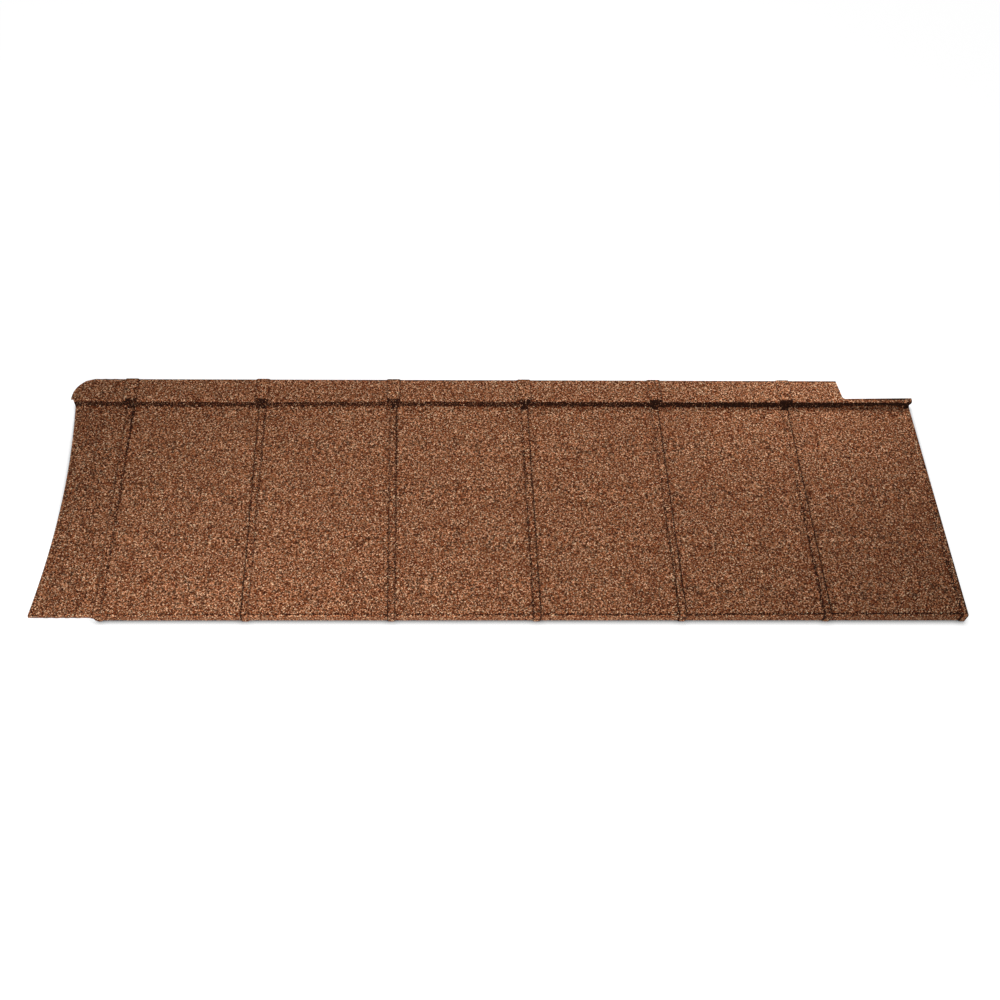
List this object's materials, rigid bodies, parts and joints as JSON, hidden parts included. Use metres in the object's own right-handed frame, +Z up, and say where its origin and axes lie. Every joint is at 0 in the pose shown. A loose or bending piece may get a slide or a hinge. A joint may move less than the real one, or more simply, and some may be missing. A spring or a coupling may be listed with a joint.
{
  "type": "tile effect metal roofing sheet",
  "caption": "Pressed steel roofing sheet with stone chip finish: flat tile-like pans between narrow ribs, turned-down nose, side underlap and a raised rear batten shelf.",
  "frame": {"origin": "middle of the sheet's box, at the level floor that it lies on", "axes": "+X along the sheet from the underlap to the edge rib, +Y from the nose to the batten shelf, +Z up"},
  "size_m": [1.329, 0.414, 0.0209],
  "materials": {
    "stone_chip_steel": "thin zinc-alloy coated steel with mid-brown stone chips bonded in acrylic on the weather face, matt and gritty; bare primer below"
  },
  "bodies": {
    "root": {"roof_sheet": "stone_chip_steel"}
  },
  "joints": []
}
